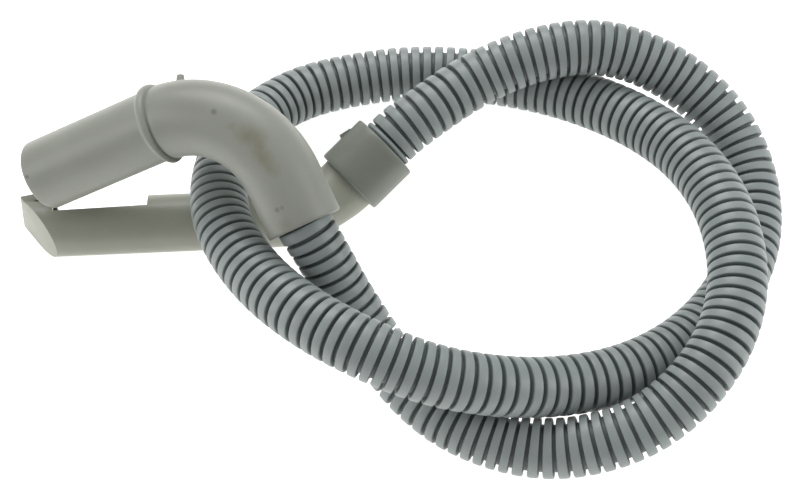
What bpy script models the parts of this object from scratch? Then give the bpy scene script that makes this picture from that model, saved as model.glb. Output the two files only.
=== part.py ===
"""Condenser valve hose: a corrugated hose lying in two loops, an elbow connector on one end, a coupling sleeve and a
valve nozzle on the other. Metres, +Z up, resting on z = 0. Plan positions are laid out first and then moved by SHIFT,
so that the origin is under the middle of the three rigid mouldings."""
import math

import bmesh
import bpy
import numpy as np

SHIFT = np.array([0.08146, -0.00896, 0.0])     # brings the layout's origin to the row's origin

GAP = 0.0004                                  # left between pieces that touch in the real part
SIDES = 40                                    # facets round a moulding

# hose: the first two and the last two points of the route lie on the socket's and the sleeve's axes
HOSE_R = 0.0123
HOSE_R_MM = ((0, 11.7), (17, 11.7), (21, 11.3), (50, 11.3), (110, 12.3), (1200, 12.3))   # radius against length, both in mm
HOSE_POINTS = 78
HOSE_ROUTE_MM = (
    (-43.4, -14.9, 65.6), (-38.0, -24.8, 59.2), (-30.4, -33.8, 49.6), (-24.4, -41.6, 39.5), (-19.4, -46.7, 32.6),
    (-9.9, -58.3, 22.0), (4.7, -76.2, 15.9), (26.6, -93.5, 15.4), (60.5, -102.9, 15.5), (98.1, -96.9, 25.7),
    (124.0, -75.4, 36.4), (136.9, -46.6, 40.6), (137.5, -11.5, 40.1), (127.9, 19.9, 35.2), (109.3, 46.7, 27.4),
    (77.2, 71.8, 17.8), (41.4, 84.6, 13.3), (9.4, 87.5, 13.0), (-18.5, 84.2, 12.7), (-47.0, 73.7, 14.5),
    (-67.9, 49.9, 22.5), (-76.3, 18.0, 36.3), (-74.5, -10.3, 42.2), (-59.0, -39.6, 46.9), (-36.1, -63.5, 53.1),
    (-14.7, -77.0, 54.3), (9.6, -85.0, 48.4), (34.4, -86.7, 40.9), (62.4, -81.1, 28.1), (91.4, -72.2, 21.8),
    (118.6, -55.2, 16.6), (140.9, -29.8, 13.2), (153.3, -1.9, 12.5), (155.1, 25.0, 14.3), (148.6, 46.6, 20.5),
    (133.7, 63.6, 29.2), (110.6, 75.6, 37.8), (85.9, 80.0, 42.1), (57.4, 76.0, 40.2), (32.1, 67.3, 33.3),
    (11.4, 52.4, 30.4), (1.6, 45.9, 27.4), (-3.5, 41.6, 25.0), (-12.8, 33.8, 20.4),
)

# elbow connector
ELBOW_CORNER = (-0.0635, 0.0221, 0.0891)                  # where the two straight axes meet
SPIGOT_DIR = (-0.871, -0.093, -0.4823)         # from the corner towards the open end
SOCKET_DIR = (0.4172, -0.7668, -0.4878)          # from the corner towards the hose
BEND_R = 0.0432
SPIGOT_LEN = 0.0605
SOCKET_LEN = 0.0197
SPIGOT_R = 0.0151
ELBOW_R = 0.0156
SPIGOT_BORE_R = 0.0127
BEND_BORE_R = 0.0112
SOCKET_BORE_R = 0.0122
SOCKET_DEPTH = 0.0150
BEAD_AT = 0.0010                              # beyond the end of the spigot's straight length
BEAD_H = 0.0019
BEAD_W = 0.0034
NUB_R = 0.0017
NUB_H = 0.0030

# valve nozzle: a D-section bar, a bend and a round neck
BAR_R = 0.0127
BAR_BACK = 0.00968                            # flat back wall, from the axis
BAR_AT = (-0.120, 0.00492)
BAR_TURN = math.radians(2.9)
BAR_END = 0.0650                              # straight length beyond BAR_AT
FACE_AT = -0.03835                            # closed end, measured along the bar at its axis
FACE_SLOPE_B = -0.740
FACE_SLOPE_Z = 0.123
END_WALL = 0.0042
WALL = 0.0020
CORNER_Z = 0.0112                             # square top-back corner of the end block, above the axis
BLOCK_OUT = 0.0007                            # the block stands out past the back wall, behind its face
WINDOW_B = 0.0009
WINDOW_Z = 0.0110                             # what is left of the back wall stands this high
WINDOW_START = -0.0297
WINDOW_STOP = 0.0110
NECK_R = 0.0133
NECK_IN = 0.0095                              # how far the neck goes into the sleeve

# coupling sleeve
SLEEVE_MOUTH = (-0.02276, 0.02534, 0.01540)   # centre of the mouth that takes the neck
SLEEVE_DIR = (0.7137, 0.6027, 0.3570)
SLEEVE_LEN = 0.0230
SLEEVE_R = 0.01615
SLEEVE_EDGE = 0.0009
NECK_BORE_R = NECK_R + GAP
HOSE_BORE_R = 0.0128
HOSE_IN = 0.0095
TAB_AT = 0.0108                               # from the neck's mouth, along the sleeve
TAB_SIZE = (0.0062, 0.0030, 0.0023)


def unit(v):
    v = np.array(v, float)
    return v / np.linalg.norm(v)


def clear_scene():
    for obj in list(bpy.data.objects):
        bpy.data.objects.remove(obj)


def material(name, colour, roughness):
    mat = bpy.data.materials.new(name)
    mat.use_nodes = True
    bsdf = mat.node_tree.nodes["Principled BSDF"]
    bsdf.inputs["Base Color"].default_value = (*colour, 1.0)
    bsdf.inputs["Roughness"].default_value = roughness
    return mat


def mesh_object(name, points, faces, mat=None, smooth=True):
    mesh = bpy.data.meshes.new(name)
    mesh.from_pydata([tuple(p) for p in points], [], faces)
    bm = bmesh.new()
    bm.from_mesh(mesh)
    bmesh.ops.recalc_face_normals(bm, faces=bm.faces)
    bm.to_mesh(mesh)
    bm.free()
    obj = bpy.data.objects.new(name, mesh)
    bpy.context.scene.collection.objects.link(obj)
    if mat:
        mesh.materials.append(mat)
    for poly in mesh.polygons:
        poly.use_smooth = smooth
    return obj


def loft(name, rings, mat=None, around=False, smooth=True):
    """A closed skin over rings of points: capped at both ends, or joined last to first when it goes around."""
    n = len(rings[0])
    points = [p for ring in rings for p in ring]
    faces = []
    count = len(rings)
    for i in range(count if around else count - 1):
        a, b = i * n, ((i + 1) % count) * n
        for k in range(n):
            j = (k + 1) % n
            faces.append((a + k, a + j, b + j, b + k))
    if not around:
        faces.append(tuple(range(n))[::-1])
        faces.append(tuple(range((count - 1) * n, count * n)))
    return mesh_object(name, np.array(points) + SHIFT, faces, mat, smooth)


def ring(centre, side, up, radii, angles):
    centre = np.array(centre)
    return [centre + r * (math.cos(t) * side + math.sin(t) * up) for r, t in zip(radii, angles)]


def round_ring(centre, direction, reference, r, sides=SIDES):
    side = unit(np.cross(direction, reference))
    up = np.cross(direction, side)
    angles = [2 * math.pi * k / sides for k in range(sides)]
    return ring(centre, side, up, [r] * sides, angles)


def boolean(obj, other, operation):
    other.hide_render = True
    other.display_type = "WIRE"
    mod = obj.modifiers.new(other.name, "BOOLEAN")
    mod.object = other
    mod.operation = operation
    mod.solver = "EXACT"


def catmull(points, per):
    """A smooth curve through the points, as a dense polyline."""
    pts = np.array(points, float)
    ext = np.vstack([2 * pts[0] - pts[1], pts, 2 * pts[-1] - pts[-2]])
    out = []
    for i in range(1, len(ext) - 2):
        p0, p1, p2, p3 = ext[i - 1:i + 3]
        t0, t1, t2, t3 = np.cumsum([0] + [np.linalg.norm(b - a) ** 0.5 for a, b in ((p0, p1), (p1, p2), (p2, p3))])
        for t in np.linspace(t1, t2, per, endpoint=False):
            a1 = (t1 - t) / (t1 - t0) * p0 + (t - t0) / (t1 - t0) * p1
            a2 = (t2 - t) / (t2 - t1) * p1 + (t - t1) / (t2 - t1) * p2
            a3 = (t3 - t) / (t3 - t2) * p2 + (t - t2) / (t3 - t2) * p3
            b1 = (t2 - t) / (t2 - t0) * a1 + (t - t0) / (t2 - t0) * a2
            b2 = (t3 - t) / (t3 - t1) * a2 + (t - t1) / (t3 - t1) * a3
            out.append((t2 - t) / (t2 - t1) * b1 + (t - t1) / (t2 - t1) * b2)
    out.append(pts[-1])
    return np.array(out)


def even(path, count):
    """The path read again at equal steps."""
    s = np.concatenate([[0], np.cumsum(np.linalg.norm(np.diff(path, axis=0), axis=1))])
    at = np.linspace(0, s[-1], count)
    return np.stack([np.interp(at, s, path[:, k]) for k in range(3)], axis=1)


# ---------------------------------------------------------------- the pieces
def hose_line():
    """Straight inside the socket and inside the sleeve, and a smooth curve between."""
    route = np.array(HOSE_ROUTE_MM) / 1000.0
    free = catmull(route, 12)[12:-12]
    return np.vstack([route[:1], even(free, HOSE_POINTS - 2), route[-1:]])


def make_hose(mat):
    curve = bpy.data.curves.new("hose", "CURVE")
    curve.dimensions = "3D"
    curve.bevel_depth = HOSE_R
    curve.bevel_resolution = 3
    curve.use_fill_caps = True
    line = hose_line() + SHIFT
    spline = curve.splines.new("POLY")
    spline.points.add(len(line) - 1)
    at = np.concatenate([[0], np.cumsum(np.linalg.norm(np.diff(line, axis=0), axis=1))]) * 1000
    for point, p, s in zip(spline.points, line, at):
        point.co = (*p, 1.0)
        point.radius = float(np.interp(s, *zip(*HOSE_R_MM))) / 1000 / HOSE_R
    spline.use_smooth = True
    obj = bpy.data.objects.new("hose", curve)
    curve.materials.append(mat)
    bpy.context.scene.collection.objects.link(obj)
    return obj


def elbow_axis():
    corner, spigot, socket = np.array(ELBOW_CORNER), unit(SPIGOT_DIR), unit(SOCKET_DIR)
    turn = math.acos(-float(socket @ spigot))
    across = unit(socket - spigot * (socket @ spigot))
    reach = BEND_R * math.tan(turn / 2)
    start = corner + spigot * reach
    centre = start + across * BEND_R
    bend = BEND_R * turn

    def at(s):
        """Point and direction, s metres from the open end of the spigot."""
        if s <= SPIGOT_LEN:
            return start + spigot * (SPIGOT_LEN - s), -spigot
        if s < SPIGOT_LEN + bend:
            a = (s - SPIGOT_LEN) / BEND_R
            return centre + BEND_R * (-across * math.cos(a) - spigot * math.sin(a)), -spigot * math.cos(a) + across * math.sin(a)
        return corner + socket * (reach + s - SPIGOT_LEN - bend), socket

    return at, SPIGOT_LEN + bend + SOCKET_LEN, bend, np.cross(spigot, across)


def make_elbow(mat):
    at, total, bend, normal = elbow_axis()
    bead = SPIGOT_LEN + BEAD_AT
    outer = [(0.0, SPIGOT_R - 0.0007), (0.0005, SPIGOT_R - 0.0001), (0.0012, SPIGOT_R)]
    outer += [(s, SPIGOT_R) for s in np.linspace(0.012, bead - BEAD_W * 0.8, 5)]
    outer += [(bead + BEAD_W / 2 * math.sin(a), SPIGOT_R + BEAD_H * math.cos(a)) for a in np.radians([-90, -60, -30, 0, 30, 60, 90])]
    outer += [(bead + BEAD_W / 2 + 0.0010, ELBOW_R - 0.0003), (bead + BEAD_W / 2 + 0.0020, ELBOW_R)]
    outer += [(s, ELBOW_R) for s in np.linspace(bead + 0.0085, SPIGOT_LEN + bend, 13)]
    outer += [(total - 0.0012, ELBOW_R), (total - 0.0005, ELBOW_R - 0.0002), (total, ELBOW_R - 0.0009)]
    inner = [(total, SOCKET_BORE_R + 0.0006), (total - 0.0008, SOCKET_BORE_R), (total - SOCKET_DEPTH, SOCKET_BORE_R), (total - SOCKET_DEPTH, BEND_BORE_R)]
    inner += [(s, BEND_BORE_R + (SPIGOT_BORE_R - BEND_BORE_R) * w) for s, w in zip(np.linspace(SPIGOT_LEN + bend - 0.001, SPIGOT_LEN, 12), np.linspace(0.0, 1.0, 12))]
    inner += [(s, SPIGOT_BORE_R) for s in np.linspace(SPIGOT_LEN - 0.02, 0.0, 4)]
    rings = []
    for s, r in outer + inner:
        centre, direction = at(s)
        rings.append(ring(centre, normal, np.cross(direction, normal), [r] * SIDES, [2 * math.pi * k / SIDES for k in range(SIDES)]))
    obj = loft("elbow_connector", rings, mat, around=True)
    # the small nub on the outside of the bend
    centre, direction = at(bead + 0.0095)
    out = -np.cross(direction, normal)
    out = unit(out * math.cos(math.radians(NUB_TURN)) + normal * math.sin(math.radians(NUB_TURN)))
    nub = loft("nub", [round_ring(centre + out * h, out, direction, r, 16) for h, r in (
        (ELBOW_R - 0.0015, NUB_R), (ELBOW_R + NUB_H - 0.0005, NUB_R), (ELBOW_R + NUB_H, NUB_R - 0.0005))])
    boolean(obj, nub, "UNION")
    return obj


NUB_TURN = -18.0


def bar_angles():
    corner_low = math.atan2(-BAR_R, BAR_BACK)
    corner_top = math.atan2(math.sqrt(BAR_R ** 2 - BAR_BACK ** 2), BAR_BACK)
    corner_block = math.atan2(CORNER_Z, BAR_BACK)
    half = 1.5 * math.pi
    marks = [corner_low, 0.0, corner_top, corner_block, math.pi / 2, math.pi, half, 2 * math.pi + corner_low]
    counts = [3, 2, 1, 5, 8, 8, 3]
    angles = []
    for a, b, n in zip(marks, marks[1:], counts):
        angles += list(np.linspace(a, b, n, endpoint=False))
    return angles


def bar_radius(t, inset, block, round_part, round_r=BAR_R, out=0.0):
    """Radius of the bar's section at angle t: the D, with a square top-back corner where block is 1, and round with
    radius round_r where round_part is 1."""
    c, s = math.cos(t), math.sin(t)
    r0, back, corner = BAR_R - inset, BAR_BACK - inset + out, CORNER_Z - inset * 0.4 + 1.7 * out
    r = r0
    if c > 1e-9:
        if s < 0:
            r = min(back / c, r0 / -s if -s > 1e-9 else 1.0)
        else:
            r = min(r0, back / c)
            square = min(back / c, corner / s if s > 1e-9 else 1.0)
            if t > math.atan2(corner, back):
                square = max(r, min(square, r0))
            r = r + block * (max(square, r) - r)
    return r + round_part * (round_r - inset - r)


def smooth_step(x):
    x = min(1.0, max(0.0, x))
    return x * x * (3 - 2 * x)


def nozzle_rings(inset):
    u = np.array([math.cos(BAR_TURN), math.sin(BAR_TURN), 0.0])
    n = np.array([-u[1], u[0], 0.0])
    z = np.array([0.0, 0.0, 1.0])
    base = np.array([*BAR_AT, BAR_R])
    angles = bar_angles()
    rings = []
    start = FACE_AT + (END_WALL if inset else 0.0)
    for step, al in enumerate([None, -0.032, -0.020, 0.0, 0.022, 0.044, BAR_END]):
        block = 0.0 if al is not None and al > -0.029 else 1.0
        points = []
        for t in angles:
            r = bar_radius(t, inset, block, 0.0, out=BLOCK_OUT if step == 1 else 0.0)
            b, h = r * math.cos(t), r * math.sin(t)
            if al is None:
                a = start + FACE_SLOPE_B * b + FACE_SLOPE_Z * h
            elif step == 1:
                a = al + 0.85 * (FACE_SLOPE_B * b + FACE_SLOPE_Z * h)
            else:
                a = al
            points.append(base + u * a + n * b + z * h)
        rings.append(points)
    # the neck: a bend in plan whose height rises only near the sleeve, so that it never dips under the bar
    p0, p3 = base + u * BAR_END, np.array(SLEEVE_MOUTH)
    d3 = unit(SLEEVE_DIR)
    reach = 0.36 * np.linalg.norm(p3 - p0)
    p1, p2 = p0 + u * reach, p3 - d3 * reach
    rise = p3[2] - p0[2]
    power = 3 * reach * d3[2] / rise

    def neck_point(w):
        c = (1 - w) ** 3 * p0 + 3 * (1 - w) ** 2 * w * p1 + 3 * (1 - w) * w * w * p2 + w ** 3 * p3
        c[2] = p0[2] + rise * max(w, 0.0) ** power
        return c

    for w in np.linspace(0, 1, 13)[1:]:
        d = unit(neck_point(w + 0.001) - neck_point(w - 0.001))
        side = unit(np.cross(z, d))
        up = np.cross(d, side)
        grown = BAR_R + (NECK_R - BAR_R) * smooth_step((w - 0.6) / 0.4)
        rings.append(ring(neck_point(w), side, up, [bar_radius(t, inset, 0.0, smooth_step(w * 1.15), grown) for t in angles], angles))
    side = unit(np.cross(z, d3))
    up = np.cross(d3, side)
    rings.append(ring(p3 + d3 * (NECK_IN + (0.002 if inset else 0.0)), side, up, [NECK_R - inset] * len(angles), angles))
    return rings, u, n, z, base


def make_nozzle(mat):
    rings, u, n, z, base = nozzle_rings(0.0)
    obj = loft("valve_nozzle", rings, mat, smooth=False)
    hollow, *_ = nozzle_rings(WALL)
    boolean(obj, loft("nozzle_bore", hollow, smooth=False), "DIFFERENCE")
    low, high = base + z * (WINDOW_Z - BAR_R), base + z * 0.020
    plan = [(WINDOW_START, WINDOW_B), (WINDOW_STOP, WINDOW_B + 0.0010), (WINDOW_STOP, 0.020), (WINDOW_START, 0.020)]
    window = loft("window_cut", [[level + u * a + n * b for a, b in plan] for level in (low, high)], smooth=False)
    boolean(obj, window, "DIFFERENCE")
    return obj


def make_sleeve(mat):
    mouth, d = np.array(SLEEVE_MOUTH), unit(SLEEVE_DIR)
    e = SLEEVE_EDGE
    split = SLEEVE_LEN - HOSE_IN - 0.0008
    profile = [(0.0, SLEEVE_R - e), (0.3 * e, SLEEVE_R - 0.3 * e), (e, SLEEVE_R)]
    profile += [(SLEEVE_LEN - e, SLEEVE_R), (SLEEVE_LEN - 0.3 * e, SLEEVE_R - 0.3 * e), (SLEEVE_LEN, SLEEVE_R - e)]
    profile += [(SLEEVE_LEN, HOSE_BORE_R), (split, HOSE_BORE_R), (split - 0.0006, 0.0108), (NECK_IN + 0.0012, 0.0108), (NECK_IN + 0.0006, NECK_BORE_R), (0.0, NECK_BORE_R)]
    z = np.array([0.0, 0.0, 1.0])
    obj = loft("coupling_sleeve", [round_ring(mouth + d * s, d, z, r, 48) for s, r in profile], mat, around=True)
    # the small catch on its upper back side
    side, up = tab_frame(d, z)
    length, width, height = TAB_SIZE
    base = mouth + d * TAB_AT + up * (SLEEVE_R - 0.0008)
    rings = []
    for s, tall, lean in ((0.0, height, 0.0009), (length, 0.0012, 0.0)):
        corners = [(-width / 2, 0, 0.0), (width / 2, 0, 0.0), (width / 2 - 0.0003, tall, lean), (-width / 2 + 0.0003, tall, lean)]
        rings.append([base + d * (s + more) + side * x + up * y for x, y, more in corners])
    tab = loft("tab", rings, smooth=False)
    boolean(obj, tab, "UNION")
    return obj


def tab_frame(d, z):
    side = unit(np.cross(z, d))
    up = np.cross(d, side)
    turn = math.radians(TAB_TURN)
    out = unit(up * math.cos(turn) + side * math.sin(turn))
    return np.cross(out, d), out


TAB_TURN = 60.0


def shade(obj, angle):
    """Smooth on the rounds, flat at the corners."""
    mesh = obj.data
    bm = bmesh.new()
    bm.from_mesh(mesh)
    for face in bm.faces:
        face.smooth = True
    for edge in bm.edges:
        if len(edge.link_faces) == 2 and edge.calc_face_angle(0.0) > math.radians(angle):
            edge.smooth = False
    bm.to_mesh(mesh)
    bm.free()


def main():
    clear_scene()
    hose_mat = material("hose_plastic", (0.27, 0.30, 0.30), 0.42)
    elbow_mat = material("elbow_plastic", (0.33, 0.33, 0.31), 0.45)
    nozzle_mat = material("nozzle_plastic", (0.24, 0.26, 0.22), 0.40)
    sleeve_mat = material("sleeve_plastic", (0.22, 0.24, 0.22), 0.42)
    make_hose(hose_mat)
    shade(make_elbow(elbow_mat), 40)
    shade(make_nozzle(nozzle_mat), 30)
    shade(make_sleeve(sleeve_mat), 40)


main()
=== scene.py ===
import math

import bmesh
import bpy
import numpy as np
from mathutils import Matrix


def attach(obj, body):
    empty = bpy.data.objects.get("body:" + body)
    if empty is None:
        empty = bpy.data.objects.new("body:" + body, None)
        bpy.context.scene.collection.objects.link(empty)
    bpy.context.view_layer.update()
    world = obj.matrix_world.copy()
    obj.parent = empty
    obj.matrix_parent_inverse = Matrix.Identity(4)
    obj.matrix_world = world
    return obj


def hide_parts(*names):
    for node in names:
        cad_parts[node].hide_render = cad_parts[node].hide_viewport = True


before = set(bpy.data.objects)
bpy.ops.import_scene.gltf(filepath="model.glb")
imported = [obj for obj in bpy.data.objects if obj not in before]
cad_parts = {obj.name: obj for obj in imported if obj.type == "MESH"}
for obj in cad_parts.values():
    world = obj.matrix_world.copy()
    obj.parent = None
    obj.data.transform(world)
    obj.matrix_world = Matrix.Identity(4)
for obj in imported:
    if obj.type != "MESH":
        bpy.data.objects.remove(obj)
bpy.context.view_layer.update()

# ------------------------------------------------------------------ sizes, in metres, as in the solids
SHIFT = np.array([0.08146, -0.00896, 0.0])
GAP = 0.0004

HOSE_R_MM = ((0, 11.7), (17, 11.7), (21, 11.3), (50, 11.3), (110, 12.3), (1200, 12.3))     # radius against length, both in mm
GROOVE_DEPTH = 0.0027
# how many grooves have gone by at each length, in mm: the hose is pressed together in some bends and pulled apart in others
GROOVES = ((16.1, 0), (40.6, 5), (109.9, 17), (143.2, 24), (181.4, 31), (212.7, 37), (368.7, 68), (478.7, 89), (519.4, 97), (558.2, 104),
           (639.2, 121), (659.3, 125), (707.2, 134), (745.5, 142), (787.3, 150), (824.3, 156), (940.5, 178), (1023.8, 193), (1100.8, 208),
           (1117.4, 211), (1137.0, 214), (1169.7, 220))
HOSE_ROUTE_MM = (
    (-43.4, -14.9, 65.6), (-38.0, -24.8, 59.2), (-30.4, -33.8, 49.6), (-24.4, -41.6, 39.5), (-19.4, -46.7, 32.6),
    (-9.9, -58.3, 22.0), (4.7, -76.2, 15.9), (26.6, -93.5, 15.4), (60.5, -102.9, 15.5), (98.1, -96.9, 25.7),
    (124.0, -75.4, 36.4), (136.9, -46.6, 40.6), (137.5, -11.5, 40.1), (127.9, 19.9, 35.2), (109.3, 46.7, 27.4),
    (77.2, 71.8, 17.8), (41.4, 84.6, 13.3), (9.4, 87.5, 13.0), (-18.5, 84.2, 12.7), (-47.0, 73.7, 14.5),
    (-67.9, 49.9, 22.5), (-76.3, 18.0, 36.3), (-74.5, -10.3, 42.2), (-59.0, -39.6, 46.9), (-36.1, -63.5, 53.1),
    (-14.7, -77.0, 54.3), (9.6, -85.0, 48.4), (34.4, -86.7, 40.9), (62.4, -81.1, 28.1), (91.4, -72.2, 21.8),
    (118.6, -55.2, 16.6), (140.9, -29.8, 13.2), (153.3, -1.9, 12.5), (155.1, 25.0, 14.3), (148.6, 46.6, 20.5),
    (133.7, 63.6, 29.2), (110.6, 75.6, 37.8), (85.9, 80.0, 42.1), (57.4, 76.0, 40.2), (32.1, 67.3, 33.3),
    (11.4, 52.4, 30.4), (1.6, 45.9, 27.4), (-3.5, 41.6, 25.0), (-12.8, 33.8, 20.4),
)

ELBOW_CORNER = (-0.0635, 0.0221, 0.0891)
SPIGOT_DIR = (-0.871, -0.093, -0.4823)
SOCKET_DIR = (0.4172, -0.7668, -0.4878)
BEND_R = 0.0432
SPIGOT_LEN = 0.0605
SOCKET_LEN = 0.0197
SPIGOT_R = 0.0151
ELBOW_R = 0.0156
SPIGOT_BORE_R = 0.0127
BEND_BORE_R = 0.0112
SOCKET_BORE_R = 0.0122
SOCKET_DEPTH = 0.0150
BEAD_AT = 0.0010
BEAD_H = 0.0019
BEAD_W = 0.0034
NUB_R = 0.0017
NUB_H = 0.0030
NUB_TURN = -18.0

BAR_R = 0.0127
BAR_BACK = 0.00968
BAR_AT = (-0.120, 0.00492)
BAR_TURN = math.radians(2.9)
BAR_END = 0.0650
FACE_AT = -0.03835
FACE_SLOPE_B = -0.740
FACE_SLOPE_Z = 0.123
END_WALL = 0.0042
WALL = 0.0020
CORNER_Z = 0.0112
BLOCK_OUT = 0.0007
WINDOW_B = 0.0009
WINDOW_Z = 0.0110
WINDOW_START = -0.0297
WINDOW_STOP = 0.0110
NECK_R = 0.0133
NECK_IN = 0.0095

SLEEVE_MOUTH = (-0.02276, 0.02534, 0.01540)
SLEEVE_DIR = (0.7137, 0.6027, 0.3570)
SLEEVE_LEN = 0.0230
SLEEVE_R = 0.01615
SLEEVE_EDGE = 0.0009
NECK_BORE_R = NECK_R + GAP
HOSE_BORE_R = 0.0128
HOSE_IN = 0.0095
TAB_AT = 0.0108
TAB_SIZE = (0.0062, 0.0030, 0.0023)
TAB_TURN = 60.0

UP = np.array([0.0, 0.0, 1.0])
BROWN, DARK = (0.66, 0.57, 0.40), (0.30, 0.28, 0.24)
# where the elbow's moulding is scuffed or stained: x, y, z, radius, strength, tint
ELBOW_MARKS = (
    (0.0077, -0.0007, 0.0922, 0.0013, 0.60, DARK), (0.0207, -0.0097, 0.0906, 0.0042, 0.50, BROWN), (0.0251, -0.0117, 0.0900, 0.0040, 0.50, BROWN),
    (0.0263, -0.0168, 0.0876, 0.0036, 0.50, BROWN), (0.0287, -0.0196, 0.0862, 0.0032, 0.45, BROWN), (0.0311, -0.0230, 0.0843, 0.0030, 0.35, BROWN),
    (0.0151, -0.0067, 0.0911, 0.0018, 0.30, BROWN), (0.0361, -0.0407, 0.0716, 0.0030, 0.25, BROWN),
    (0.0329, -0.0356, 0.0747, 0.0011, 0.50, DARK), (0.0350, -0.0354, 0.0759, 0.0010, 0.40, DARK), (-0.0737, -0.0051, 0.0522, 0.0010, 0.75, DARK),
)


def unit(v):
    v = np.array(v, float)
    return v / np.linalg.norm(v)


# ------------------------------------------------------------------ camera
def make_camera():
    data = bpy.data.cameras.new("camera")
    data.sensor_width = 36.0
    data.lens = 73.72
    cam = bpy.data.objects.new("camera", data)
    cam.location = (SHIFT[0], SHIFT[1] - 0.3722, 0.6211)
    cam.rotation_euler = (math.radians(90 - 59.07), 0, 0)
    bpy.context.scene.collection.objects.link(cam)
    bpy.context.scene.camera = cam


# ------------------------------------------------------------------ curves
def catmull(points, per):
    pts = np.array(points, float)
    ext = np.vstack([2 * pts[0] - pts[1], pts, 2 * pts[-1] - pts[-2]])
    out = []
    for i in range(1, len(ext) - 2):
        p0, p1, p2, p3 = ext[i - 1:i + 3]
        t0, t1, t2, t3 = np.cumsum([0] + [np.linalg.norm(b - a) ** 0.5 for a, b in ((p0, p1), (p1, p2), (p2, p3))])
        for t in np.linspace(t1, t2, per, endpoint=False):
            a1 = (t1 - t) / (t1 - t0) * p0 + (t - t0) / (t1 - t0) * p1
            a2 = (t2 - t) / (t2 - t1) * p1 + (t - t1) / (t2 - t1) * p2
            a3 = (t3 - t) / (t3 - t2) * p2 + (t - t2) / (t3 - t2) * p3
            b1 = (t2 - t) / (t2 - t0) * a1 + (t - t0) / (t2 - t0) * a2
            b2 = (t3 - t) / (t3 - t1) * a2 + (t - t1) / (t3 - t1) * a3
            out.append((t2 - t) / (t2 - t1) * b1 + (t - t1) / (t2 - t1) * b2)
    out.append(pts[-1])
    return np.array(out)


def arc_lengths(path):
    return np.concatenate([[0], np.cumsum(np.linalg.norm(np.diff(path, axis=0), axis=1))])


def hose_path(count=2400):
    """The hose's centreline at equal steps, rounded off a little between the route's points and straight at both ends."""
    dense = catmull(np.array(HOSE_ROUTE_MM) / 1000.0, 40)
    s = arc_lengths(dense)
    at = np.linspace(0, s[-1], count)
    path = np.stack([np.interp(at, s, dense[:, k]) for k in range(3)], axis=1)
    step = s[-1] / (count - 1)
    width = int(0.007 / step)
    kernel = np.exp(-0.5 * (np.arange(-3 * width, 3 * width + 1) / width) ** 2)
    kernel /= kernel.sum()
    pad = len(kernel) // 2
    ext = np.vstack([path[0] + (path[0] - path[pad:0:-1]), path, path[-1] + (path[-1] - path[-2:-pad - 2:-1])])
    soft = np.stack([np.convolve(ext[:, k], kernel, mode="valid") for k in range(3)], axis=1)
    keep = np.clip((np.minimum(at, s[-1] - at) - 0.012) / 0.010, 0, 1)[:, None]
    return path * (1 - keep) + soft * keep + SHIFT


def frames_along(path):
    """Tangents, and a side vector that doesn't twist."""
    tangent = np.gradient(path, axis=0)
    tangent /= np.linalg.norm(tangent, axis=1, keepdims=True)
    side = np.zeros_like(path)
    side[0] = unit(np.cross(tangent[0], UP))
    for i in range(1, len(path)):
        v = side[i - 1] - tangent[i] * (side[i - 1] @ tangent[i])
        side[i] = v / np.linalg.norm(v)
    return tangent, side


# ------------------------------------------------------------------ meshes
def finish_mesh(obj, angle=35.0):
    """Applies the modifiers, and shades smooth except at corners."""
    graph = bpy.context.evaluated_depsgraph_get()
    mesh = bpy.data.meshes.new_from_object(obj.evaluated_get(graph), depsgraph=graph)
    old = obj.data
    obj.modifiers.clear()
    obj.data = mesh
    bpy.data.meshes.remove(old)
    mesh.shade_smooth()
    mesh.set_sharp_from_angle(angle=math.radians(angle))
    return obj


def mesh_object(name, points, faces, mats=(), indices=None, smooth=True):
    mesh = bpy.data.meshes.new(name)
    mesh.from_pydata([tuple(p) for p in points], [], faces)
    for mat in mats:
        mesh.materials.append(mat)
    if indices is not None:
        mesh.polygons.foreach_set("material_index", indices)
    bm = bmesh.new()
    bm.from_mesh(mesh)
    bmesh.ops.recalc_face_normals(bm, faces=bm.faces)
    bm.to_mesh(mesh)
    bm.free()
    mesh.polygons.foreach_set("use_smooth", [smooth] * len(mesh.polygons))
    obj = bpy.data.objects.new(name, mesh)
    bpy.context.scene.collection.objects.link(obj)
    return obj


def loft(name, rings, mats=(), around=False, smooth=True, kinds=None):
    n, count = len(rings[0]), len(rings)
    points = np.concatenate([np.array(r) for r in rings]) + SHIFT
    faces, indices = [], []
    for i in range(count if around else count - 1):
        a, b = i * n, ((i + 1) % count) * n
        for k in range(n):
            j = (k + 1) % n
            faces.append((a + k, a + j, b + j, b + k))
            indices.append(kinds[i] if kinds else 0)
    if not around:
        faces.append(tuple(range(n))[::-1])
        faces.append(tuple(range((count - 1) * n, count * n)))
        indices += [kinds[0] if kinds else 0, kinds[-1] if kinds else 0]
    return mesh_object(name, points, faces, mats, indices, smooth)


def ring(centre, side, up, radii, angles):
    centre = np.array(centre)
    return [centre + r * (math.cos(t) * side + math.sin(t) * up) for r, t in zip(radii, angles)]


def round_ring(centre, direction, reference, r, sides):
    side = unit(np.cross(direction, reference))
    up = np.cross(direction, side)
    return ring(centre, side, up, [r] * sides, [2 * math.pi * k / sides for k in range(sides)])


def boolean(obj, other, operation):
    mod = obj.modifiers.new(other.name, "BOOLEAN")
    mod.object = other
    mod.operation = operation
    mod.solver = "EXACT"


def discard(*objs):
    for obj in objs:
        bpy.data.objects.remove(obj)


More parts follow.
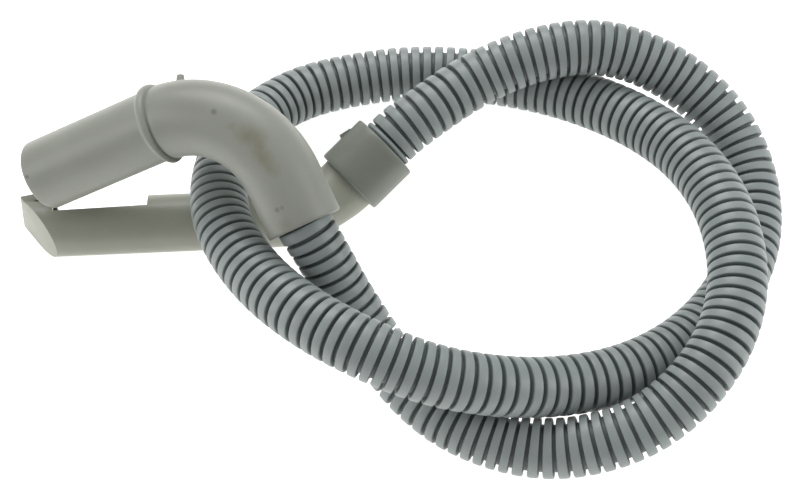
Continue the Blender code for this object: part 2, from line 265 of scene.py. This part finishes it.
# ------------------------------------------------------------------ materials
def plastic(name, base, darker, rough=0.42, cloud=35.0, fleck=900.0, bump=0.12, sheen=0.0, marks=()):
    """Moulded plastic: clouded colour, a fine uneven skin, and roughness that wanders. marks are (x, y, z, radius, depth, tint), in metres."""
    mat = bpy.data.materials.new(name)
    mat.use_nodes = True
    tree = mat.node_tree
    nodes, links = tree.nodes, tree.links
    bsdf = nodes["Principled BSDF"]
    coord = nodes.new("ShaderNodeTexCoord")

    def noise(scale, detail, rough_, distortion=0.0):
        node = nodes.new("ShaderNodeTexNoise")
        node.inputs["Scale"].default_value = scale
        node.inputs["Detail"].default_value = detail
        node.inputs["Roughness"].default_value = rough_
        node.inputs["Distortion"].default_value = distortion
        links.new(coord.outputs["Object"], node.inputs["Vector"])
        return node

    big = noise(cloud, 4.0, 0.55, 0.4)
    ramp = nodes.new("ShaderNodeValToRGB")
    ramp.color_ramp.elements[0].position = 0.30
    ramp.color_ramp.elements[0].color = (*darker, 1.0)
    ramp.color_ramp.elements[1].position = 0.70
    ramp.color_ramp.elements[1].color = (*base, 1.0)
    links.new(big.outputs["Fac"], ramp.inputs["Fac"])
    colour = ramp.outputs["Color"]
    for x, y, z, radius, depth, tint in marks:
        place = nodes.new("ShaderNodeVectorMath")
        place.operation = "DISTANCE"
        spread = 1.3 * radius
        place.inputs[1].default_value = (x + spread / 2, y + spread / 2, z + spread / 2)
        wobble = nodes.new("ShaderNodeVectorMath")
        wobble.operation = "MULTIPLY_ADD"
        wobble.inputs[1].default_value = (spread, spread, spread)
        small = noise(0.55 / radius, 3.0, 0.65)
        links.new(small.outputs["Color"], wobble.inputs[0])
        links.new(coord.outputs["Object"], wobble.inputs[2])
        links.new(wobble.outputs[0], place.inputs[0])
        soft = nodes.new("ShaderNodeMapRange")
        soft.inputs["From Min"].default_value = radius * 0.2
        soft.inputs["From Max"].default_value = radius * 1.3
        soft.inputs["To Min"].default_value = depth
        soft.inputs["To Max"].default_value = 0.0
        links.new(place.outputs["Value"], soft.inputs["Value"])
        mix = nodes.new("ShaderNodeMix")
        mix.data_type = "RGBA"
        mix.blend_type = "MULTIPLY"
        links.new(soft.outputs["Result"], mix.inputs["Factor"])
        links.new(colour, mix.inputs["A"])
        mix.inputs["B"].default_value = (*tint, 1.0)
        colour = mix.outputs["Result"]
    links.new(colour, bsdf.inputs["Base Color"])

    skin = noise(fleck, 3.0, 0.6)
    rough_map = nodes.new("ShaderNodeMapRange")
    rough_map.inputs["To Min"].default_value = rough - 0.07
    rough_map.inputs["To Max"].default_value = rough + 0.09
    links.new(noise(140.0, 3.0, 0.6).outputs["Fac"], rough_map.inputs["Value"])
    links.new(rough_map.outputs["Result"], bsdf.inputs["Roughness"])
    lift = nodes.new("ShaderNodeBump")
    lift.inputs["Strength"].default_value = bump
    lift.inputs["Distance"].default_value = 0.0002
    links.new(skin.outputs["Fac"], lift.inputs["Height"])
    links.new(lift.outputs["Normal"], bsdf.inputs["Normal"])
    if sheen:
        bsdf.inputs["Sheen Weight"].default_value = sheen
        bsdf.inputs["Sheen Roughness"].default_value = 0.35
        bsdf.inputs["Sheen Tint"].default_value = (1.0, 0.97, 0.86, 1.0)
    return mat


# ------------------------------------------------------------------ hose
def make_hose(mat, dark):
    path = hose_path()
    tangent, side = frames_along(path)
    s_all = arc_lengths(path)
    length = s_all[-1]
    sides = 52
    angles = np.linspace(0, 2 * math.pi, sides, endpoint=False)

    def outside(s):
        return float(np.interp(s * 1000, *zip(*HOSE_R_MM))) / 1000 - 0.00006

    # each row is (length along the hose, radius, material of the band up to the next row); material 1 is the darker
    # groove material, painted shade
    grooves = [float(np.interp(k, [g[1] for g in GROOVES], [g[0] for g in GROOVES])) / 1000 for k in range(GROOVES[-1][1] + 1)]
    grooves = [grooves[0] - 0.0052] + grooves
    top = ((-1.0, 0.0), (-0.97, 0.78), (-0.86, 0.96), (-0.55, 1.0), (0.55, 1.0), (0.86, 0.96), (0.97, 0.78), (1.0, 0.0))
    rows = [(0.0, 0.0085, 1), (0.0, outside(0) - GROOVE_DEPTH, 1)]
    for a, b in zip(grooves, grooves[1:]):
        gap = 0.28 * (b - a)
        if b == grooves[-1]:
            gap = 0.0012
        half, middle, r = (b - a - gap) / 2, (a + b) / 2, outside((a + b) / 2)
        for i, (x, h) in enumerate(top):
            # the groove walls and floor take material 1, painted shade; the crest takes the plain hose material
            rows.append((middle + x * half, r - GROOVE_DEPTH * (1 - h), 0 if 0 < i < 6 else 1))
    # the smooth cuff beside the sleeve: a narrow slit, and a plain band that goes on inside; the slit takes material 1,
    # painted shade
    r = outside(length)
    last = grooves[-1]
    rows += [(last + 0.0003, r - 0.0022, 1), (last + 0.0003, r - 0.0007, 0), (last + 0.0007, r - 0.0001, 0), (last + 0.0016, r, 0), (last + 0.0021, r - 0.0002, 0),
             (last + 0.0024, r - 0.0008, 1), (last + 0.0028, r - 0.0008, 0), (last + 0.0031, r - 0.0001, 0), (length - 0.0004, r - 0.0001, 0), (length, r - 0.0006, 1), (length, 0.0085, 1)]
    at = np.array([row[0] for row in rows])
    radius = np.array([row[1] for row in rows])
    centre = np.stack([np.interp(at, s_all, path[:, k]) for k in range(3)], axis=1)
    tan = np.stack([np.interp(at, s_all, tangent[:, k]) for k in range(3)], axis=1)
    sid = np.stack([np.interp(at, s_all, side[:, k]) for k in range(3)], axis=1)
    tan /= np.linalg.norm(tan, axis=1, keepdims=True)
    sid -= tan * (sid * tan).sum(axis=1, keepdims=True)
    sid /= np.linalg.norm(sid, axis=1, keepdims=True)
    up = np.cross(tan, sid)
    rings = centre[:, None] + radius[:, None, None] * (np.cos(angles)[None, :, None] * sid[:, None] + np.sin(angles)[None, :, None] * up[:, None])
    obj = loft("hose_corrugated", [r - SHIFT for r in rings], (mat, dark), kinds=[row[2] for row in rows])
    obj.data.set_sharp_from_angle(angle=math.radians(50))
    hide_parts("hose")
    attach(obj, "root")
    return obj


# ------------------------------------------------------------------ elbow
def elbow_axis():
    corner, spigot, socket = np.array(ELBOW_CORNER), unit(SPIGOT_DIR), unit(SOCKET_DIR)
    turn = math.acos(-float(socket @ spigot))
    across = unit(socket - spigot * (socket @ spigot))
    reach = BEND_R * math.tan(turn / 2)
    start = corner + spigot * reach
    centre = start + across * BEND_R
    bend = BEND_R * turn

    def at(s):
        if s <= SPIGOT_LEN:
            return start + spigot * (SPIGOT_LEN - s), -spigot
        if s < SPIGOT_LEN + bend:
            a = (s - SPIGOT_LEN) / BEND_R
            return centre + BEND_R * (-across * math.cos(a) - spigot * math.sin(a)), -spigot * math.cos(a) + across * math.sin(a)
        return corner + socket * (reach + s - SPIGOT_LEN - bend), socket

    return at, SPIGOT_LEN + bend + SOCKET_LEN, bend, np.cross(spigot, across)


def make_elbow(mat, dark):
    at, total, bend, normal = elbow_axis()
    bead = SPIGOT_LEN + BEAD_AT
    outer = [(0.0, SPIGOT_R - 0.0009), (0.0002, SPIGOT_R - 0.0004), (0.0006, SPIGOT_R - 0.0001), (0.0012, SPIGOT_R)]
    outer += [(s, SPIGOT_R) for s in np.linspace(0.004, bead - BEAD_W * 0.95, 18)]
    outer += [(bead - BEAD_W * 0.62, SPIGOT_R + 0.0001), (bead - BEAD_W * 0.52, SPIGOT_R + 0.0004)]
    outer += [(bead + BEAD_W / 2 * math.sin(a), SPIGOT_R + 0.0003 + (BEAD_H - 0.0003) * math.cos(a)) for a in np.radians(np.linspace(-78, 90, 13))]
    outer += [(bead + BEAD_W / 2 + 0.0004, ELBOW_R - 0.0007), (bead + BEAD_W / 2 + 0.0009, ELBOW_R - 0.0007), (bead + BEAD_W / 2 + 0.0013, ELBOW_R - 0.0001),
              (bead + BEAD_W / 2 + 0.0018, ELBOW_R)]
    outer += [(s, ELBOW_R) for s in np.linspace(bead + 0.0055, SPIGOT_LEN + bend, 44)]
    outer += [(total - 0.0050, ELBOW_R), (total - 0.0016, ELBOW_R + 0.0001), (total - 0.0006, ELBOW_R), (total - 0.0002, ELBOW_R - 0.0003), (total, ELBOW_R - 0.0008)]
    inner = [(total, SOCKET_BORE_R + 0.0007), (total - 0.0005, SOCKET_BORE_R + 0.0002), (total - 0.0010, SOCKET_BORE_R),
             (total - SOCKET_DEPTH, SOCKET_BORE_R), (total - SOCKET_DEPTH, BEND_BORE_R)]
    inner += [(s, BEND_BORE_R + (SPIGOT_BORE_R - BEND_BORE_R) * w) for s, w in zip(np.linspace(SPIGOT_LEN + bend - 0.001, SPIGOT_LEN, 30), np.linspace(0.0, 1.0, 30))]
    inner += [(s, SPIGOT_BORE_R) for s in np.linspace(SPIGOT_LEN - 0.01, 0.0012, 8)] + [(0.0003, SPIGOT_BORE_R + 0.0002), (0.0, SPIGOT_BORE_R + 0.0006)]
    sides = 112
    angles = [2 * math.pi * k / sides for k in range(sides)]
    rings = []
    for s, r in outer + inner:
        centre, direction = at(s)
        rings.append(ring(centre, normal, np.cross(direction, normal), [r] * sides, angles))
    obj = loft("elbow_body", rings, (mat,), around=True)
    centre, direction = at(bead + 0.0095)
    out = -np.cross(direction, normal)
    out = unit(out * math.cos(math.radians(NUB_TURN)) + normal * math.sin(math.radians(NUB_TURN)))
    nub = loft("nub_solid", [round_ring(centre + out * h, out, direction, r, 24) for h, r in (
        (ELBOW_R - 0.0015, NUB_R + 0.0003), (ELBOW_R + 0.0002, NUB_R + 0.0003), (ELBOW_R + 0.0008, NUB_R), (ELBOW_R + NUB_H - 0.0006, NUB_R - 0.0001),
        (ELBOW_R + NUB_H - 0.0003, NUB_R - 0.0003), (ELBOW_R + NUB_H - 0.0001, NUB_R - 0.0007))], (mat,))
    boolean(obj, nub, "UNION")
    finish_mesh(obj, 38)
    discard(nub)
    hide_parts("elbow_connector")
    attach(obj, "root")
    return obj


# ------------------------------------------------------------------ nozzle
def bar_angles():
    corner_low = math.atan2(-BAR_R, BAR_BACK)
    corner_top = math.atan2(math.sqrt(BAR_R ** 2 - BAR_BACK ** 2), BAR_BACK)
    corner_block = math.atan2(CORNER_Z, BAR_BACK)
    half = 1.5 * math.pi
    marks = [corner_low, 0.0, corner_top, corner_block, math.pi / 2, math.pi, half, 2 * math.pi + corner_low]
    counts = [6, 4, 2, 10, 18, 18, 6]
    angles = []
    for a, b, n in zip(marks, marks[1:], counts):
        angles += list(np.linspace(a, b, n, endpoint=False))
    return angles


def bar_radius(t, inset, block, round_part, round_r=BAR_R, out=0.0):
    c, s = math.cos(t), math.sin(t)
    r0, back, corner = BAR_R - inset, BAR_BACK - inset + out, CORNER_Z - inset * 0.4 + 1.7 * out
    r = r0
    if c > 1e-9:
        if s < 0:
            r = min(back / c, r0 / -s if -s > 1e-9 else 1.0)
        else:
            r = min(r0, back / c)
            square = min(back / c, corner / s if s > 1e-9 else 1.0)
            if t > math.atan2(corner, back):
                square = max(r, min(square, r0))
            r = r + block * (max(square, r) - r)
    return r + round_part * (round_r - inset - r)


def smooth_step(x):
    x = min(1.0, max(0.0, x))
    return x * x * (3 - 2 * x)


def nozzle_rings(inset):
    u = np.array([math.cos(BAR_TURN), math.sin(BAR_TURN), 0.0])
    n = np.array([-u[1], u[0], 0.0])
    base = np.array([*BAR_AT, BAR_R])
    angles = bar_angles()
    rings = []
    start = FACE_AT + (END_WALL if inset else 0.0)
    for step, al in enumerate([None, -0.032, -0.020, 0.0, 0.022, 0.044, BAR_END]):
        block = 0.0 if al is not None and al > -0.029 else 1.0
        points = []
        for t in angles:
            r = bar_radius(t, inset, block, 0.0, out=BLOCK_OUT if step == 1 else 0.0)
            b, h = r * math.cos(t), r * math.sin(t)
            if al is None:
                a = start + FACE_SLOPE_B * b + FACE_SLOPE_Z * h
            elif step == 1:
                a = al + 0.85 * (FACE_SLOPE_B * b + FACE_SLOPE_Z * h)
            else:
                a = al
            points.append(base + u * a + n * b + UP * h)
        rings.append(points)
    p0, p3 = base + u * BAR_END, np.array(SLEEVE_MOUTH)
    d3 = unit(SLEEVE_DIR)
    reach = 0.36 * np.linalg.norm(p3 - p0)
    p1, p2 = p0 + u * reach, p3 - d3 * reach
    rise = p3[2] - p0[2]
    power = 3 * reach * d3[2] / rise

    def neck_point(w):
        c = (1 - w) ** 3 * p0 + 3 * (1 - w) ** 2 * w * p1 + 3 * (1 - w) * w * w * p2 + w ** 3 * p3
        c[2] = p0[2] + rise * max(w, 0.0) ** power
        return c

    for w in np.linspace(0, 1, 29)[1:]:
        d = unit(neck_point(w + 0.001) - neck_point(w - 0.001))
        side = unit(np.cross(UP, d))
        up = np.cross(d, side)
        grown = BAR_R + (NECK_R - BAR_R) * smooth_step((w - 0.6) / 0.4)
        rings.append(ring(neck_point(w), side, up, [bar_radius(t, inset, 0.0, smooth_step(w * 1.15), grown) for t in angles], angles))
    side = unit(np.cross(UP, d3))
    up = np.cross(d3, side)
    rings.append(ring(p3 + d3 * (NECK_IN + (0.002 if inset else 0.0)), side, up, [NECK_R - inset] * len(angles), angles))
    return rings, u, n, base


def make_nozzle(mat):
    rings, u, n, base = nozzle_rings(0.0)
    obj = loft("nozzle_body", rings, (mat,), smooth=False)
    hollow, *_ = nozzle_rings(WALL)
    bore = loft("nozzle_bore", hollow, smooth=False)
    boolean(obj, bore, "DIFFERENCE")
    low, high = base + UP * (WINDOW_Z - BAR_R), base + UP * 0.020
    plan = [(WINDOW_START, WINDOW_B), (WINDOW_STOP, WINDOW_B + 0.0010), (WINDOW_STOP, 0.020), (WINDOW_START, 0.020)]
    window = loft("window_cut", [[level + u * a + n * b for a, b in plan] for level in (low, high)], smooth=False)
    boolean(obj, window, "DIFFERENCE")
    bevel = obj.modifiers.new("edges", "BEVEL")
    bevel.width = 0.00045
    bevel.segments = 3
    bevel.limit_method = "ANGLE"
    bevel.angle_limit = math.radians(32)
    finish_mesh(obj, 40)
    discard(bore, window)
    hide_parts("valve_nozzle")
    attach(obj, "root")
    return obj


# ------------------------------------------------------------------ sleeve
def make_sleeve(mat):
    mouth, d = np.array(SLEEVE_MOUTH), unit(SLEEVE_DIR)
    e = SLEEVE_EDGE
    split = SLEEVE_LEN - HOSE_IN - 0.0008
    profile = [(0.0, SLEEVE_R - e), (0.12 * e, SLEEVE_R - 0.55 * e), (0.4 * e, SLEEVE_R - 0.2 * e), (e, SLEEVE_R)]
    profile += [(s, SLEEVE_R) for s in np.linspace(0.003, SLEEVE_LEN - 0.003, 6)]
    profile += [(SLEEVE_LEN - e, SLEEVE_R), (SLEEVE_LEN - 0.4 * e, SLEEVE_R - 0.2 * e), (SLEEVE_LEN - 0.12 * e, SLEEVE_R - 0.55 * e), (SLEEVE_LEN, SLEEVE_R - e)]
    profile += [(SLEEVE_LEN, HOSE_BORE_R + 0.0003), (SLEEVE_LEN - 0.0004, HOSE_BORE_R), (split, HOSE_BORE_R), (split - 0.0006, 0.0108),
                (NECK_IN + 0.0012, 0.0108), (NECK_IN + 0.0006, NECK_BORE_R), (0.0004, NECK_BORE_R), (0.0, NECK_BORE_R + 0.0003)]
    obj = loft("sleeve_body", [round_ring(mouth + d * s, d, UP, r, 112) for s, r in profile], (mat,), around=True)
    side = unit(np.cross(UP, d))
    up = np.cross(d, side)
    turn = math.radians(TAB_TURN)
    out = unit(up * math.cos(turn) + side * math.sin(turn))
    across = np.cross(out, d)
    length, width, height = TAB_SIZE
    base = mouth + d * TAB_AT + out * (SLEEVE_R - 0.0008)
    rings = []
    for s, tall, lean in ((0.0, height, 0.0009), (length, 0.0012, 0.0)):
        corners = [(-width / 2, 0, 0.0), (width / 2, 0, 0.0), (width / 2 - 0.0003, tall, lean), (-width / 2 + 0.0003, tall, lean)]
        rings.append([base + d * (s + more) + across * x + out * y for x, y, more in corners])
    tab = loft("tab_solid", rings, (mat,), smooth=False)
    boolean(obj, tab, "UNION")
    finish_mesh(obj, 38)
    discard(tab)
    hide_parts("coupling_sleeve")
    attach(obj, "root")
    return obj


# ------------------------------------------------------------------ stage
def make_stage():
    bpy.ops.mesh.primitive_plane_add(size=6.0, location=(0.08, 0.0, -0.0004))
    floor = bpy.context.object
    floor.name = "floor"
    mat = bpy.data.materials.new("floor_white")
    mat.use_nodes = True
    nodes, links = mat.node_tree.nodes, mat.node_tree.links
    bsdf = nodes["Principled BSDF"]
    bsdf.inputs["Base Color"].default_value = (0.80, 0.80, 0.79, 1.0)
    bsdf.inputs["Roughness"].default_value = 0.7
    bsdf.inputs["Emission Color"].default_value = (1.0, 1.0, 0.985, 1.0)
    coord = nodes.new("ShaderNodeTexCoord")
    split = nodes.new("ShaderNodeSeparateXYZ")
    fade = nodes.new("ShaderNodeMapRange")
    fade.inputs["From Min"].default_value = -0.45
    fade.inputs["From Max"].default_value = -0.19
    fade.inputs["To Min"].default_value = 0.55
    fade.inputs["To Max"].default_value = 0.82
    links.new(coord.outputs["Object"], split.inputs["Vector"])
    links.new(split.outputs["Y"], fade.inputs["Value"])
    links.new(fade.outputs["Result"], bsdf.inputs["Emission Strength"])
    floor.data.materials.append(mat)


def area(name, location, target, size, power, colour=(1.0, 1.0, 1.0)):
    data = bpy.data.lights.new(name, "AREA")
    data.shape = "RECTANGLE"
    data.size, data.size_y = size
    data.energy = power
    data.color = colour
    lamp = bpy.data.objects.new(name, data)
    way = unit(np.array(target) - np.array(location))
    back = -way
    right = unit(np.cross((0.0, 0.0, 1.0), back)) if abs(back[2]) < 0.999 else np.array([1.0, 0, 0])
    up = np.cross(back, right)
    turn = Matrix((tuple(right), tuple(up), tuple(back))).transposed().to_4x4()
    turn.translation = location
    lamp.matrix_world = turn
    bpy.context.scene.collection.objects.link(lamp)


def make_light():
    world = bpy.data.worlds.new("studio")
    bpy.context.scene.world = world
    world.use_nodes = True
    world.node_tree.nodes["Background"].inputs["Color"].default_value = (1.0, 1.0, 0.99, 1.0)
    nodes, links = world.node_tree.nodes, world.node_tree.links
    coord = nodes.new("ShaderNodeTexCoord")
    split = nodes.new("ShaderNodeSeparateXYZ")
    fade = nodes.new("ShaderNodeMapRange")
    fade.inputs["From Min"].default_value = -0.75
    fade.inputs["From Max"].default_value = 0.25
    fade.inputs["To Min"].default_value = 0.40
    fade.inputs["To Max"].default_value = 0.50
    links.new(coord.outputs["Generated"], split.inputs["Vector"])
    links.new(split.outputs["Y"], fade.inputs["Value"])
    links.new(fade.outputs["Result"], nodes["Background"].inputs["Strength"])
    area("softbox_back", (-0.10, 0.75, 0.85), (0.05, 0.0, 0.0), (0.9, 0.5), 7.0)
    area("softbox_left", (-0.95, -0.25, 0.45), (0.0, 0.0, 0.0), (0.5, 0.8), 3.0)
    area("softbox_right", (1.05, -0.15, 0.50), (0.1, 0.0, 0.0), (0.5, 0.8), 3.6)
    bpy.context.scene.view_settings.view_transform = "Standard"
    bpy.context.scene.view_settings.look = "None"


def main():
    make_camera()
    make_stage()
    make_light()
    hose_mat = plastic("hose_grey", (0.270, 0.305, 0.300), (0.240, 0.274, 0.270), rough=0.40, cloud=60.0, bump=0.10)
    # the groove material is the hose plastic darkened: painted shade for the recesses of the grooves and the slit
    # beside the sleeve
    groove_painted_shade_mat = plastic("hose_groove_painted_shade", (0.150, 0.176, 0.174), (0.124, 0.148, 0.148), rough=0.48, cloud=60.0, bump=0.10)
    elbow_mat = plastic("elbow_grey", (0.276, 0.288, 0.254), (0.244, 0.253, 0.222), rough=0.40, cloud=28.0, bump=0.14, sheen=0.12, marks=ELBOW_MARKS)
    nozzle_mat = plastic("nozzle_grey", (0.296, 0.304, 0.250), (0.262, 0.270, 0.220), rough=0.38, cloud=24.0, bump=0.12, sheen=0.20)
    sleeve_mat = plastic("sleeve_grey", (0.200, 0.218, 0.186), (0.176, 0.192, 0.163), rough=0.40, cloud=40.0, bump=0.12, sheen=0.15)
    make_hose(hose_mat, groove_painted_shade_mat)
    make_elbow(elbow_mat, None)
    make_nozzle(nozzle_mat)
    make_sleeve(sleeve_mat)


main()
